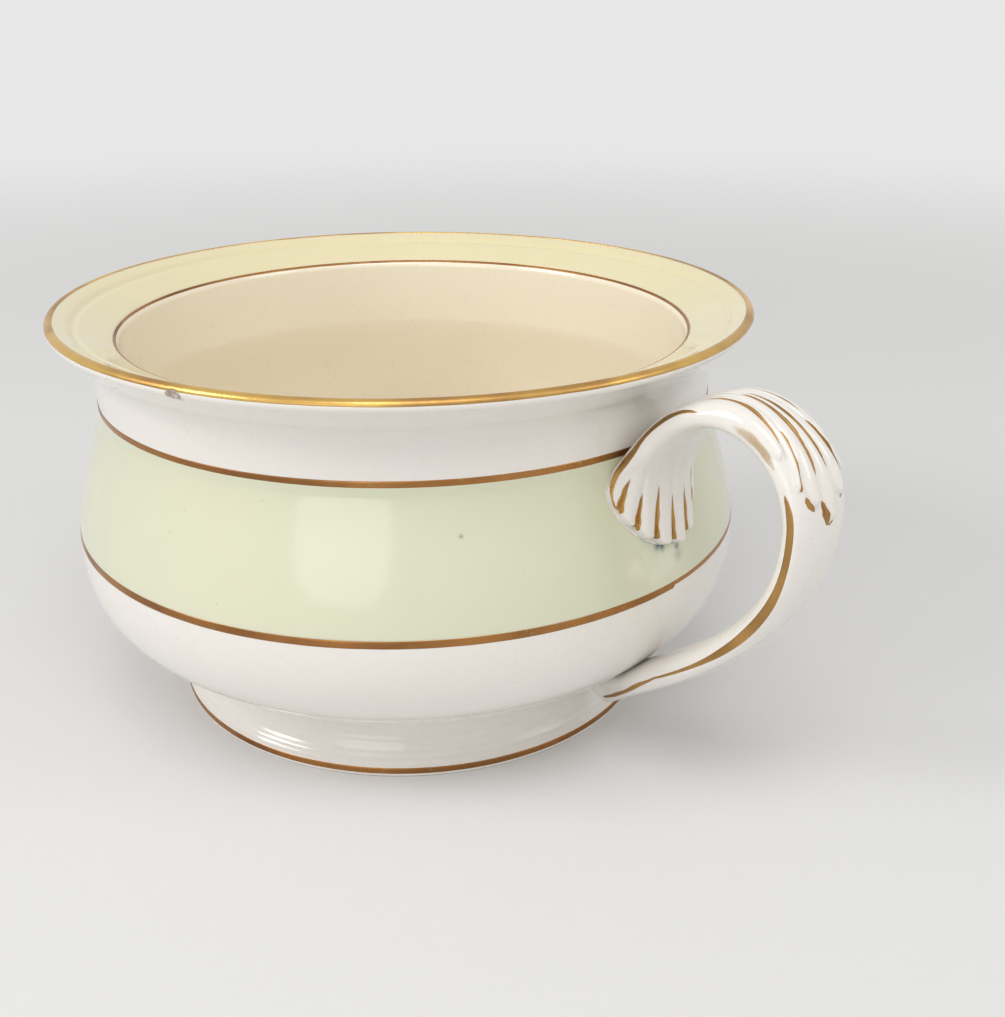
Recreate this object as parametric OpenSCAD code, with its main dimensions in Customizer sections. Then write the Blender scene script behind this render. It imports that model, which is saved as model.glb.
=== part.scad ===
// Chamber pot: a glazed bowl with a turned-out rim on a flared foot ring, with one moulded
// handle that grows out of a fluted shell, carries a lobed leaf over its arch and tapers to a
// plain tail. Coloured grounds and gilding are thin fired layers lying on the clay.
// Millimetres. The origin is the middle of the foot's resting circle, +Z is up and +X points
// to the handle.

/* [Bowl] */
// Height of the bowl's base above the table
foot_h = 11.5; // [8:0.5:16]
// Height from the base to the widest part of the belly
lower_h = 44; // [38:0.5:50]
// Height from the widest part to the collar
shoulder_h = 42.5; // [37:0.5:48]
// Height of the upright collar
collar_h = 12; // [9:0.5:16]
// Height of the turned-out rim
rim_h = 17.6; // [15:0.2:21]
// Diameter of the flat base inside the foot ring
base_d = 129; // [118:1:136]
// Largest diameter of the belly
belly_d = 213.6; // [200:0.2:228]
// Outer diameter of the collar
collar_d = 193.2; // [185:0.2:200]
// Outer diameter of the lip
rim_d = 218.2; // [208:0.2:230]
// Diameter of the throat, where the rim turns down into the bowl
throat_d = 177.4; // [168:0.2:182]
// Thickness of the wall
wall = 6; // [4.5:0.1:7]
// Thickness of the floor in the middle
floor_t = 6.5; // [5:0.1:9]
// Thickness of the rounded lip
lip_t = 3.6; // [2.8:0.1:4.5]
// Radius of the turn from the rim into the throat
throat_turn = 3; // [2:0.1:4]
// Slope of the rim's upper face, in degrees
rim_slope = 23.4; // [16:0.1:28]
// Slope of the rim's underside at the lip, in degrees
under_slope = 35; // [25:1:45]

/* [Bowl curves] */
// Slope of the wall where it leaves the base, in degrees
rise_angle = 30; // [22:1:38]
// How far the wall keeps that slope
rise_pull = 28.5; // [22:0.5:34]
// How upright the wall stays below the widest part
belly_pull_low = 25; // [18:0.5:30]
// How upright the wall stays above the widest part
belly_pull_high = 17; // [12:0.5:22]
// How softly the shoulder turns into the collar
shoulder_pull = 3; // [1:0.5:8]
// How softly the collar turns into the rim
flare_pull = 6; // [4:0.5:8]
// Place of the ring groove on the rim's face, as a share of the way from the lip to the throat
groove_in = 0.3235; // [0.2:0.0005:0.5]
// Width of the ring groove
groove_w = 1.6; // [1:0.1:2.4]
// Depth of the ring groove
groove_depth = 0.4; // [0.2:0.05:0.6]

/* [Foot ring] */
// Outer diameter of the foot
foot_d = 157; // [148:0.5:166]
// Diameter of the crease where the foot meets the bowl
crease_d = 145.2; // [140:0.2:150]
// Width of the seat under the bowl
seat_w = 6.4; // [5:0.1:7.5]
// Width of the flat that the pot rests on
tread_w = 7; // [5:0.1:9]
// Height of the foot's upright edge
foot_edge_h = 3.2; // [2.6:0.1:5]
// Rounding of the lower edges
foot_round = 0.7; // [0.4:0.1:1]
// How far the flare falls steeply from the crease, as a share of the crease's height
flare_fall = 0.4; // [0.3:0.05:0.6]
// How far the flare runs level into the foot's edge, as a share of its reach
flare_run = 0.6; // [0.4:0.05:0.8]
// How far the flare's end rises above the foot's edge
flare_lift = 1.9; // [1:0.1:2.6]

/* [Fired layers] */
// Thickness of the gilding
gilt_t = 0.25; // [0.2:0.05:0.4]
// Thickness of the coloured grounds
ground_t = 0.2; // [0.15:0.05:0.3]
// Height of the belly line's middle above the widest part
belly_line_up = 4.7; // [2:0.1:8]
// Width of the belly line
belly_line_w = 2.3; // [1.5:0.1:3]
// Height of the shoulder line's middle above the foot of the collar
shoulder_line_up = 3.2; // [2:0.1:6]
// Width of the shoulder line
shoulder_line_w = 2; // [1.5:0.1:3]
// Height of the foot line above the table
foot_line_up = 1.1; // [0.9:0.1:1.6]
// Angle round the lip where its gilding starts, from level
lip_gilt_from = -10; // [-30:1:10]
// Distance that the ground round the body keeps from the handle's shell
ground_gap = 0.6; // [0.3:0.1:1.5]

/* [Handle] */
// Depth of the handle's root below the collar
root_down = 6; // [4:0.5:9]
// Height of the tail's joint above the bowl's base
tail_up = 8; // [7:0.5:11]
// Rise of the arch above the root
arch_rise = 24.8; // [21:0.2:29]
// Distance out from the root to the top of the arch
arch_out = 25.8; // [22:0.2:30]
// Drop from the top of the arch to the handle's outermost point
arch_drop = 25.4; // [22:0.2:30]
// Distance from the belly to the middle of the strap at its outermost point
stand_off = 42; // [37:0.2:48]
// Width of the strap at the shell
shell_w = 38; // [34:0.2:42]
// Width of the strap over the arch
arch_w = 23.2; // [20:0.2:27]
// Width of the strap at its outermost point
strap_w = 25; // [21:0.2:28]
// Width of the tail where it meets the bowl
tail_w = 17.6; // [14:0.2:20]
// Thickness of the strap at the shell
shell_t = 11; // [8:0.1:13]
// Thickness of the strap over the arch
arch_t = 8; // [6.5:0.1:9.5]
// Thickness of the strap at its outermost point
strap_t = 9; // [7.5:0.1:10.5]
// Thickness of the tail
tail_t = 6.6; // [5:0.1:8]
// Distance of the tail's middle line out from the wall at its joint
tail_hang = 6.6; // [5:0.1:8]
// Clearance between the handle and the bowl, filled by slip
lute_gap = 0.2; // [0.15:0.05:0.3]

/* [Handle curves] */
// Slope of the strap where it leaves the root, in degrees
root_angle = 73; // [66:1:80]
// How far the strap keeps that slope, as a share of the arch's rise
root_pull = 0.64; // [0.5:0.02:0.8]
// How soon the strap narrows above the shell
root_taper = 0.6; // [0.4:0.05:0.8]
// How flat the arch is on the bowl's side, as a share of its distance out
top_pull_in = 0.48; // [0.36:0.02:0.6]
// How flat the arch is on the far side, as a share of what is left to the outermost point
top_pull_out = 0.5; // [0.4:0.02:0.64]
// How upright the strap stays above its outermost point, as a share of the arch's drop
out_pull_up = 0.58; // [0.44:0.02:0.7]
// How upright the strap stays below its outermost point, as a share of the arch's drop
out_pull_down = 1.12; // [0.9:0.02:1.24]
// Slope of the strap at the tail, in degrees
tail_angle = 31; // [28:0.5:34]
// How far the tail keeps that slope, as a share of the stand-off
tail_pull = 1.1; // [0.96:0.02:1.16]
// How soon the strap narrows towards the tail
tail_taper = 0.5; // [0.3:0.05:0.7]
// How square the strap's section is, where 2 is an ellipse
bulge = 2.6; // [2:0.1:3.2]

/* [Shell and leaf] */
// Number of flutes on the shell
flutes = 9; // [7:2:11]
// Length of the shell below the root
shell_drop = 19; // [15:0.5:21]
// How pointed the shell's fan is, where 1 is half an oval
fan_point = 1.3; // [1:0.05:1.6]
// Rise of the shell's upper edge above the root
shell_rise = 7.2; // [5:0.2:9]
// Thickness of the shell's rounded tips
shell_lip = 2.2; // [1.5:0.1:3]
// Height of the flutes above their furrows
flute_h = 1.3; // [0.8:0.1:1.8]
// How far each flute's tip stands past the furrows
scallop = 1.6; // [0.5:0.1:2]
// Height of the leaf above the strap
leaf_h = 1.2; // [0.8:0.1:1.8]
// Width of a gilded furrow
furrow_w = 1.1; // [0.8:0.1:1.4]
// Height of the tail's footprint below its joint
tail_low = 2.8; // [2:0.1:3.4]
// Height of the tail's footprint above its joint
tail_high = 4; // [3:0.1:6]

/* [Hidden] */
$fn = 96;

// Steps on the turned curves
lower_steps = 14;
upper_steps = 12;
under_steps = 8;
lip_below_steps = 3;
lip_steps = 8;
turn_steps = 4;
flare_steps = 8;

// Curves
function mix(a, b, t) = a + (b - a) * t;
function clamp01(t) = max(0, min(1, t));
function ease(t) = t * t * (3 - 2 * t);
function polar(r, a) = r * [cos(a), sin(a)];
function arc(c, r, a0, a1, n) = [for (i = [0:n]) c + polar(r, mix(a0, a1, i / n))];
function bezier(p, t) = p[0] * pow(1 - t, 3) + 3 * p[1] * t * pow(1 - t, 2)
    + 3 * p[2] * t * t * (1 - t) + p[3] * pow(t, 3);
function heading(p, t) = (p[1] - p[0]) * pow(1 - t, 2) + 2 * (p[2] - p[1]) * t * (1 - t)
    + (p[3] - p[2]) * t * t;
function curve(p, n) = [for (i = [1:n]) bezier(p, i / n)];
function reversed(p) = [for (i = [len(p) - 1:-1:0]) p[i]];

// Outward normal of a clay line that runs up the outside, over the lip and down the inside
function facing(p, i) = let (d = p[min(len(p) - 1, i + 1)] - p[max(0, i - 1)])
    [d[1], -d[0]] / norm(d);
function shifted(p, t) = [for (i = [0:len(p) - 1]) p[i] + t * facing(p, i)];
function layer(p, t) = concat(p, reversed(shifted(p, t)));

// Heights and radii of the bowl
belly_r = belly_d / 2;
collar_r = collar_d / 2;
throat_r = throat_d / 2;
foot_r = foot_d / 2;
crease_r = crease_d / 2;
belly_z = foot_h + lower_h;
collar_z = belly_z + shoulder_h;
flare_z = collar_z + collar_h;
lip_r = lip_t / 2;
lip_mid = [rim_d / 2 - lip_r, flare_z + rim_h - lip_r];

// The outside of the wall, from the base to the start of the lip
base_edge = [base_d / 2, foot_h];
belly_point = [belly_r, belly_z];
collar_point = [collar_r, collar_z];
flare_point = [collar_r, flare_z];
lip_start = lip_mid + polar(lip_r, under_slope - 90);
lower_wall = curve([base_edge, base_edge + polar(rise_pull, rise_angle),
    belly_point - [0, belly_pull_low], belly_point], lower_steps);
upper_wall = curve([belly_point, belly_point + [0, belly_pull_high],
    collar_point - [0, shoulder_pull], collar_point], upper_steps);
rim_under = curve([flare_point, flare_point + [0, flare_pull],
    lip_start - polar(flare_pull, under_slope), lip_start], under_steps);
wall_line = concat([base_edge], lower_wall, upper_wall, [flare_point], rim_under);

// The lip, the rim's upper face with its ring groove, and the turn into the throat
lip_end = lip_mid + polar(lip_r, 90 + rim_slope);
lip_below = arc(lip_mid, lip_r, under_slope - 90, lip_gilt_from, lip_below_steps);
lip_gilt = arc(lip_mid, lip_r, lip_gilt_from, 90 + rim_slope, lip_steps);
function on_rim(r) = [r, lip_end[1] - (lip_end[0] - r) * tan(rim_slope)];
turn_r = throat_r + throat_turn * (1 - sin(rim_slope));
groove_r = mix(lip_end[0], turn_r, groove_in);
groove = [on_rim(groove_r + groove_w / 2), on_rim(groove_r) - [0, groove_depth],
    on_rim(groove_r - groove_w / 2)];
turn_mid = on_rim(turn_r) - polar(throat_turn, 90 + rim_slope);
throat_arc = arc(turn_mid, throat_turn, 90 + rim_slope, 180, turn_steps);
throat_gilt = [throat_arc[0], throat_arc[1], throat_arc[2]];
rim_face = concat([lip_end], groove, [throat_arc[0]]);

// The inside follows the outside at the wall's thickness
cup_line = reversed(shifted(concat([base_edge], lower_wall, upper_wall), -wall));
clay_line = concat([[0, foot_h]], wall_line, lip_below, lip_gilt, groove, throat_arc, cup_line,
    [[0, foot_h + floor_t]]);

// Radius of the outside at a height, and a stretch of the outside between two heights
wall_table = [for (p = wall_line) [p[1], p[0]]];
function wall_r(z) = lookup(z, wall_table);
function wall_part(z0, z1) = concat([[wall_r(z0), z0]],
    [for (p = wall_line) if (p[1] > z0 && p[1] < z1) p], [[wall_r(z1), z1]]);

belly_line_z = belly_z + belly_line_up;
shoulder_line_z = collar_z + shoulder_line_up;
belly_line = [belly_line_z - belly_line_w / 2, belly_line_z + belly_line_w / 2];
shoulder_line = [shoulder_line_z - shoulder_line_w / 2, shoulder_line_z + shoulder_line_w / 2];

// The foot ring's seat follows the underside of the wall
seat_table = [for (p = concat([base_edge], lower_wall)) [p[0], p[1]]];
seat_r = crease_r - seat_w;
seat_line = concat([[seat_r, lookup(seat_r, seat_table)]],
    [for (p = lower_wall) if (p[0] > seat_r && p[0] < crease_r) p],
    [[crease_r, lookup(crease_r, seat_table)]]);
foot_top = seat_line[len(seat_line) - 1];
foot_corner = [foot_r, foot_edge_h];
foot_flare = curve([foot_top, foot_top - [0, foot_top[1] * flare_fall],
    foot_corner + [(crease_r - foot_r) * flare_run, flare_lift], foot_corner], flare_steps);
tread_r = foot_r - foot_round - tread_w;
foot_line = concat(seat_line, foot_flare, [[foot_r, foot_round], [foot_r - foot_round, 0],
    [tread_r, 0], [tread_r - foot_round, foot_round]]);

// Handle path: each point is [x, z, half width, half thickness]
root_off = lute_gap * 2;
root_z = collar_z - root_down;
tail_z = foot_h + tail_up;
root = [wall_r(root_z) + root_off, root_z];
top = root + [arch_out, arch_rise];
outermost = [belly_r + stand_off, top[1] - arch_drop];
tail = [wall_r(tail_z) + tail_hang, tail_z];
root_size = [shell_w, shell_t] / 2;
top_size = [arch_w, arch_t] / 2;
out_size = [strap_w, strap_t] / 2;
tail_size = [tail_w, tail_t] / 2;
strap = [
    [concat(root, root_size),
        concat(root + polar(arch_rise * root_pull, root_angle), mix(root_size, top_size, root_taper)),
        concat(top - [arch_out * top_pull_in, 0], top_size), concat(top, top_size)],
    [concat(top, top_size), concat(top + [(outermost[0] - top[0]) * top_pull_out, 0], top_size),
        concat(outermost + [0, arch_drop * out_pull_up], out_size), concat(outermost, out_size)],
    [concat(outermost, out_size), concat(outermost - [0, arch_drop * out_pull_down], out_size),
        concat(tail + polar(stand_off * tail_pull, tail_angle), mix(tail_size, out_size, tail_taper)),
        concat(tail, tail_size)]];
function leg(s) = min(2, floor(s));
function strap_at(s) = bezier(strap[leg(s)], s - leg(s));
function strap_out(s) = let (d = heading(strap[leg(s)], s - leg(s)), l = norm([d[0], d[1]]))
    [-d[1], d[0]] / l;

// Places along the path: 0 to 1 runs up to the arch's top, 1 to 2 to the outermost point and
// 2 to 3 down to the tail
shell_end = 0.3;
leaf_start = 0.75;
leaf_full = 1.1;
leaf_drop = 0.04;
inner_reach = 1.72;
tail_start = 2.9;
lobe_tip = [1.96, 1.85, 1.74, 1.53];
lobe_notch = [1.79, 1.69, 1.46];

// The leaf's furrows run straight at first and then swing out, as shares of the half width
furrow_top = [0.06, 0.3, 0.48];
furrow_end = [0.27, 0.76, 0.94];
furrow_place = [1.79, 1.69, 1.69];
furrow_swing = 2;

// Lines across the outer face, as [lobe, place within the lobe from its inner to its outer side].
// A furrow between two lobes is the flat strip from place 1 of one to place 0 of the next.
half_lines = [[0, 0.45], [0, 0.8], [0, 1], [1, 0], [1, 0.2], [1, 0.5], [1, 0.8], [1, 1],
    [2, 0], [2, 0.2], [2, 0.5], [2, 0.8], [2, 1], [3, 0], [3, 0.4], [3, 0.75], [3, 1]];
half_n = len(half_lines);
outer_n = 2 * half_n + 1;
lobe_n = 5; // lines to a flute
inner_n = flutes * lobe_n - 2;
line_n = outer_n + inner_n;

function furrow_at(k, s) = mix(furrow_top[k], furrow_end[k],
    pow(clamp01((s - leaf_start) / (furrow_place[k] - leaf_start)), furrow_swing));
function lobe_from(k, s, g) = k == 0 ? 0 : furrow_at(k - 1, s) + g;
function lobe_to(k, s, g) = k == 3 ? 1 : furrow_at(k, s) - g;
function furrow_half(s) = furrow_w / 2 / strap_at(s)[2];

// Where line j lies on the outer face: -1 is one edge of the strap and 1 the other
function half_line(j) = half_lines[abs(j - half_n) - 1];
function side(j) = j < half_n ? -1 : 1;
function across(j, s) = j == half_n ? 0 : let (h = half_line(j), g = furrow_half(s))
    side(j) * mix(lobe_from(h[0], s, g), lobe_to(h[0], s, g), h[1]);
function place(j) = j == half_n ? 0 : let (h = half_line(j)) h[0] == 0 ? h[1] : 2 * h[1] - 1;
function lobe(j) = j == half_n ? 0 : half_line(j)[0];
function pillow(q) = sqrt(max(0, 1 - pow(q, 4)));

// The leaf's lower margin on each line: lobe tips with notches between them
function margin(j) = let (k = lobe(j), q = place(j),
        notch = k == 0 ? lobe_notch[0] : q < 0 ? lobe_notch[k - 1] : lobe_notch[min(2, k)])
    mix(lobe_tip[k], notch, q * q);

// Lines across the inner face, as an angle from one edge (0) to the other (180), five to a flute
flute_a = 180 / flutes;
flute_places = [0.12, 0.3, 0.5, 0.7, 0.88];
flute_round = [0, 0.8, 1, 0.8, 0];
function inner_m(j) = j - outer_n + 1;
function inner_a(j) = flute_a * (floor(inner_m(j) / lobe_n) + flute_places[inner_m(j) % lobe_n]);
function flute_rise(j) = flute_round[inner_m(j) % lobe_n];
function is_outer(j) = j < outer_n;

// A point of the strap's own surface
function crown(y) = pow(max(0, 1 - pow(abs(y), bulge)), 1 / bulge);
function strap_point(s, y, h) = let (c = strap_at(s), n = strap_out(s))
    [c[0] + n[0] * h, y * c[2], c[1] + n[1] * h];
function outer_point(j, s, lift) = let (y = across(j, s), c = strap_at(s))
    strap_point(s, y, c[3] * crown(y) + lift * pillow(place(j)));
function inner_point(j, s) = let (y = cos(inner_a(j)), c = strap_at(s))
    strap_point(s, y, -c[3] * crown(y));

// Places on the bowl's outside, as [sideways, height, distance off the wall]
function on_wall(p) = let (r = wall_r(p[1]) + p[2]) [sqrt(r * r - p[0] * p[0]), p[0], p[1]];
function off_wall(p) = [p[1], p[2], norm([p[0], p[1]]) - wall_r(p[2])];

// The shell's footprint: a scalloped fan below, a low arch above
function shell_foot(j) = is_outer(j)
    ? let (y = across(j, shell_end)) [y * shell_w / 2, root_z + shell_rise * (1 - y * y), lute_gap]
    : let (a = inner_a(j), f = 1 + scallop * (flute_rise(j) - 0.5) / shell_drop)
        [f * shell_w / 2 * cos(a), root_z - f * shell_drop * pow(sin(a), fan_point), lute_gap];
// The tail's footprint: an oval
function tail_foot(j) = is_outer(j)
    ? let (y = across(j, tail_start)) [y * tail_w / 2, tail_z - tail_low * crown(y), lute_gap]
    : let (a = inner_a(j)) [cos(a) * tail_w / 2, tail_z + tail_high * sin(a), lute_gap];

// Rings along the handle
shell_steps = [0, 0.03, 0.09, 0.18, 0.3, 0.46, 0.64, 0.82];
leaf_rings = 22;
strap_rings = 18;
tail_rings = 7;
tail_blunt = 2.6; // how bluntly the tail's outer face drops to the bowl
leaf_edge = 0.7; // share of the leaf's height that its margin keeps
shell_bend = 1.15; // how hollow the shell stands on the wall
lip_share = 0.09; // share of the shell's length that its lip takes
ridge_fade = 1.6; // how soon the flutes fade towards the strap
leaf_first = len(shell_steps);
leaf_last = leaf_first + leaf_rings;
strap_last = leaf_last + 1 + strap_rings;
ring_last = strap_last + tail_rings;

function reach(j) = is_outer(j) ? margin(j)
    : mix(lobe_tip[3], inner_reach, sin(inner_a(j)));
function leaf_lift(s) = leaf_h * ease(clamp01((s - leaf_start) / (leaf_full - leaf_start)));
function face_point(j, s, lift) = is_outer(j) ? outer_point(j, s, lift) : inner_point(j, s);

function shell_point(i, j) = let (q = shell_steps[i], a = shell_foot(j), w = clamp01(q / lip_share),
        b = off_wall(face_point(j, shell_end, 0)),
        lip = is_outer(j) ? 0 : shell_lip * sin(inner_a(j)) * sin(90 * w) * (1 - q),
        ridge = is_outer(j) ? 0 : flute_h * flute_rise(j) * w * pow(1 - q, ridge_fade))
    on_wall([mix(a[0], b[0], q), mix(a[1], b[1], q), mix(a[2], b[2], pow(q, shell_bend)) + lip + ridge]);
function leaf_point(i, j) = let (s = mix(shell_end, reach(j), (i - leaf_first) / leaf_rings))
    face_point(j, s, leaf_lift(s) * (i == leaf_last ? leaf_edge : 1));
function plain_point(i, j) = let (t = (i - leaf_last - 1) / strap_rings)
    face_point(j, mix(reach(j) + leaf_drop, tail_start, t), 0);
function tail_point(i, j) = let (q = (i - strap_last) / tail_rings, b = tail_foot(j),
        a = off_wall(face_point(j, tail_start, 0)), drop = is_outer(j) ? pow(q, tail_blunt) : q)
    on_wall([mix(a[0], b[0], q), mix(a[1], b[1], q), mix(a[2], b[2], drop)]);
function handle_point(i, j) = i < leaf_first ? shell_point(i, j) : i <= leaf_last ? leaf_point(i, j)
    : i <= strap_last ? plain_point(i, j) : tail_point(i, j);

// Rings that close an end on the bowl, drawn in towards the footprint's middle
cap_steps = [0.7, 0.4, 0.14];
function cap_ring(foot, mid, f) = [for (j = [0:line_n - 1]) on_wall(concat(
    [for (k = [0:1]) mix(mid[k], foot[j][k], f)], [lute_gap]))];
shell_foot_line = [for (j = [0:line_n - 1]) shell_foot(j)];
tail_foot_line = [for (j = [0:line_n - 1]) tail_foot(j)];
shell_mid = [0, root_z + (shell_rise - shell_drop) / 2];
tail_mid = [0, tail_z];

handle_rings = [for (i = [0:ring_last]) [for (j = [0:line_n - 1]) handle_point(i, j)]];
closed_rings = concat(
    [for (f = reversed(cap_steps)) cap_ring(shell_foot_line, shell_mid, f)], handle_rings,
    [for (f = cap_steps) cap_ring(tail_foot_line, tail_mid, f)]);

// Triangles between two rings of n points, and a closed skin over rings with its ends given
function wrapped(i, n) = [for (j = [0:n - 1]) let (k = (j + 1) % n)
    each [[i * n + j, i * n + k, (i + 1) * n + k], [i * n + j, (i + 1) * n + k, (i + 1) * n + j]]];
module loft(rings, start, end) {
    n = len(rings[0]);
    polyhedron(points = [for (r = rings) each r],
        faces = concat([for (i = [0:len(rings) - 2]) each wrapped(i, n)], start, end));
}

// A thin sheet of gilding over part of the handle's skin, rings i0 to i1 and lines j0 to j1
function skin_at(i, j) = handle_rings[max(0, min(ring_last, i))][(j + line_n) % line_n];
function skin_out(i, j) = let (a = skin_at(i + 1, j) - skin_at(i - 1, j),
        b = skin_at(i, j + 1) - skin_at(i, j - 1), c = cross(a, b)) c / norm(c);
// The sheet's end is a strip of triangles between its upper and its lower side
function sheet_end(first, n) = [for (k = [0:n - 2]) let (a = first + k, b = first + 2 * n - 1 - k)
    each [[a, b, b - 1], [a, b - 1, a + 1]]];
function flipped(faces) = [for (f = faces) [f[0], f[2], f[1]]];
module gilding(i0, i1, j0, j1) {
    n = j1 - j0 + 1;
    loft([for (i = [i0:i1]) concat(
        [for (j = [j0:j1]) skin_at(i, j) + gilt_t * skin_out(i, j)],
        [for (j = [j1:-1:j0]) skin_at(i, j)])],
        sheet_end(0, n), flipped(sheet_end((i1 - i0) * 2 * n, n)));
}

module bowl() {
    color("ivory") rotate_extrude() polygon(clay_line);
}

module foot_ring() {
    color("ivory") rotate_extrude() polygon(foot_line);
}

module handle() {
    last = (len(closed_rings) - 1) * line_n;
    color("floralwhite") loft(closed_rings, [[for (j = [line_n - 1:-1:0]) j]],
        [[for (j = [0:line_n - 1]) last + j]]);
}

// The rim's ground runs from the gilt lip to the throat line
module rim_green_band() {
    color("lemonchiffon") rotate_extrude() polygon(layer(rim_face, ground_t));
}

// The ground round the body stops at the outline of the handle's shell
module body_green_band() {
    half_w = shell_w / 2 + ground_gap;
    above = shell_rise + ground_gap;
    below = shell_drop + scallop + ground_gap;
    window = [for (a = [0:10:350]) [half_w * cos(a), root_z + (a < 180 ? above * sin(a)
        : -below * pow(max(0, -sin(a)), fan_point))]];
    color("honeydew") difference() {
        rotate_extrude() polygon(layer(wall_part(belly_line[1], shoulder_line[0]), ground_t));
        rotate([90, 0, 90]) linear_extrude(height = belly_r + stand_off) polygon(window);
    }
}

module rim_gilt_edge() {
    color("darkgoldenrod") rotate_extrude() polygon(layer(lip_gilt, gilt_t));
}

module throat_gilt_line() {
    color("darkgoldenrod") rotate_extrude() polygon(layer(throat_gilt, gilt_t));
}

module shoulder_gilt_line() {
    color("darkgoldenrod") rotate_extrude()
        polygon(layer(wall_part(shoulder_line[0], shoulder_line[1]), gilt_t));
}

module belly_gilt_line() {
    color("darkgoldenrod") rotate_extrude()
        polygon(layer(wall_part(belly_line[0], belly_line[1]), gilt_t));
}

module foot_gilt_line() {
    color("darkgoldenrod") rotate_extrude()
        polygon(layer([[foot_r, foot_line_up], [foot_r, foot_edge_h]], gilt_t));
}

// Both edges are gilt from the shell to the top of the arch, and again below the leaf
module handle_edge_gilding() {
    upper = [1, leaf_first + 9];
    lower = [leaf_last + 2, strap_last - 1];
    color("goldenrod") for (j = [0, outer_n - 1], span = [upper, lower])
        gilding(span[0], span[1], j - 2, j + 2);
}

// One stroke in every furrow of the leaf, as [line at the furrow's start, first ring, last ring]
module handle_leaf_gilding() {
    strokes = [[2, 11, 19], [7, 16, 21], [12, 11, 20]];
    color("goldenrod") for (k = strokes, way = [-1, 1]) {
        j = way > 0 ? half_n + 1 + k[0] : half_n - 2 - k[0];
        gilding(leaf_first + k[1], leaf_first + k[2], j, j + 1);
    }
}

// One stroke in every furrow of the shell
module handle_shell_gilding() {
    color("goldenrod") for (k = [1:flutes - 1])
        gilding(1, leaf_first - 3, outer_n - 2 + lobe_n * k, outer_n - 1 + lobe_n * k);
}

bowl();
foot_ring();
handle();
rim_green_band();
body_green_band();
rim_gilt_edge();
throat_gilt_line();
shoulder_gilt_line();
belly_gilt_line();
foot_gilt_line();
handle_edge_gilding();
handle_leaf_gilding();
handle_shell_gilding();
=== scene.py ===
import math
import bmesh
import bpy
import numpy as np
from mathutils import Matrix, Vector


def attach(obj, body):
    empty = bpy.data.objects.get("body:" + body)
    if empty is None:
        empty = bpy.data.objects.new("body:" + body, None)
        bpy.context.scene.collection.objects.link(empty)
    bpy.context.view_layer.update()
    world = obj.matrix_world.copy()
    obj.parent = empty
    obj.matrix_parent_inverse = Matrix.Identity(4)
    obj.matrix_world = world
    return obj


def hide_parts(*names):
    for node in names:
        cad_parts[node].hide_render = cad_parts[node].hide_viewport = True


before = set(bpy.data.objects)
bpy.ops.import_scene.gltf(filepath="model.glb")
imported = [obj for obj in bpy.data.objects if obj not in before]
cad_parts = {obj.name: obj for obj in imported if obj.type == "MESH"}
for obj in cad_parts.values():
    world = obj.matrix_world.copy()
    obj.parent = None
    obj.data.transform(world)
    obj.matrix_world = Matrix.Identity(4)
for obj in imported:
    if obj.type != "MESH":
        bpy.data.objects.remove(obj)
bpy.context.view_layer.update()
mm = 0.001  # the pieces are drawn in millimetres, like the CAD
print("frame loaded:", len(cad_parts), "nodes")


# curves
def mix(a, b, t):
    return a + (b - a) * t


def clamp01(t):
    return np.clip(t, 0.0, 1.0)


def ease(t):
    t = clamp01(t)
    return t * t * (3 - 2 * t)


def polar(radius, degrees):
    angle = math.radians(degrees)
    return np.array([radius * math.cos(angle), radius * math.sin(angle)])


def arc(middle, radius, start, end, steps):
    return np.array([middle + polar(radius, a) for a in np.linspace(start, end, steps + 1)])


def bezier(p, t):
    t = np.asarray(t, float)[..., None]
    return p[0] * (1 - t) ** 3 + 3 * p[1] * t * (1 - t) ** 2 + 3 * p[2] * t * t * (1 - t) + p[3] * t ** 3


def bezierHeading(p, t):
    t = np.asarray(t, float)[..., None]
    return (p[1] - p[0]) * (1 - t) ** 2 + 2 * (p[2] - p[1]) * t * (1 - t) + (p[3] - p[2]) * t * t


def curve(p, steps):
    return bezier([np.array(q, float) for q in p], np.linspace(0, 1, steps + 1)[1:])


def joined(*lines):
    return np.concatenate([np.atleast_2d(np.array(line, float)) for line in lines])


def facing(line):  # outward side of a line that runs up the outside and down the inside
    along = np.gradient(line, axis=0)
    return np.stack([along[:, 1], -along[:, 0]], 1) / np.linalg.norm(along, axis=1)[:, None]


def lineLength(line):
    return np.concatenate([[0], np.cumsum(np.linalg.norm(np.diff(line, axis=0), axis=1))])


def soften(values, i0, i1, passes):  # evens out rows i0 to i1 of a grid
    for _ in range(passes):
        values[i0:i1] = values[i0:i1] / 2 + (values[i0 - 1:i1 - 1] + values[i0 + 1:i1 + 1]) / 4


# meshes
def gridFaces(index, wrapRows, wrapColumns, caps):
    here, down = (index, np.roll(index, -1, 0)) if wrapRows else (index[:-1], index[1:])
    if wrapColumns:
        corners = [here, down, np.roll(down, -1, 1), np.roll(here, -1, 1)]
    else:
        corners = [here[:, :-1], down[:, :-1], down[:, 1:], here[:, 1:]]
    faces = np.stack(corners, -1).reshape(-1, 4).tolist()
    if caps:
        ends = (index[:, 0], index[:, -1]) if wrapRows else (index[0], index[-1])
        faces += [end.tolist() for end in ends]
    return faces


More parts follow.
